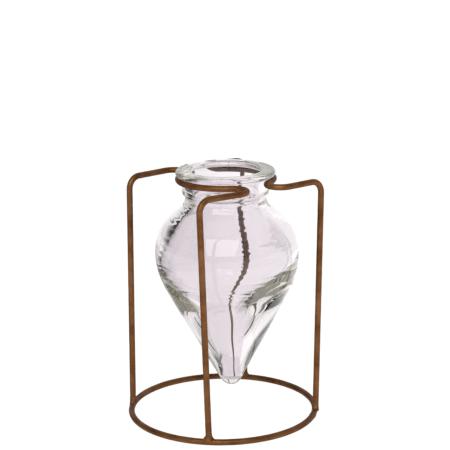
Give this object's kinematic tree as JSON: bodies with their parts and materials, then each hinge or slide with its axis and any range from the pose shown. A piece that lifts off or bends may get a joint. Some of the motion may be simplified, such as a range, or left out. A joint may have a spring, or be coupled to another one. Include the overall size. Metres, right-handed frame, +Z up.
{
  "type": "bud vase with metal stand",
  "caption": "Clear glass amphora bud vase hung by its rim in a copper-coloured bent-wire stand on a ring base; the vase lifts a little and is held captive by its collar.",
  "frame": {"origin": "on the table under the stand, midway between the centre of the base ring and the centre of the shoulders, which the hand-bent stand carries 2.2 mm towards +X of the ring", "axes": "+Z up along the vase's axis; +Y away from the picture's camera; +X to the right in the picture, towards the right leg"},
  "size_m": [0.1046, 0.1016, 0.1319],
  "materials": {
    "copper_paint": "antique copper-brown metallic paint on steel rod, satin",
    "weld_paint": "the same paint over rough weld metal",
    "clear_glass": "clear thick glass with a faint lilac cast, polished by the flame"
  },
  "bodies": {
    "stand": {"base_ring": "copper_paint", "left_wire": "copper_paint", "right_wire": "copper_paint", "front_foot_weld": "weld_paint", "left_foot_weld": "weld_paint", "back_foot_weld": "weld_paint", "right_foot_weld": "weld_paint"},
    "vase": {"glass_vase": "clear_glass"}
  },
  "joints": [
    {"name": "vase_lift", "type": "slide", "parent": "stand", "child": "vase", "axis": [0, 0, 1], "range_m": [0, 0.013]}
  ]
}
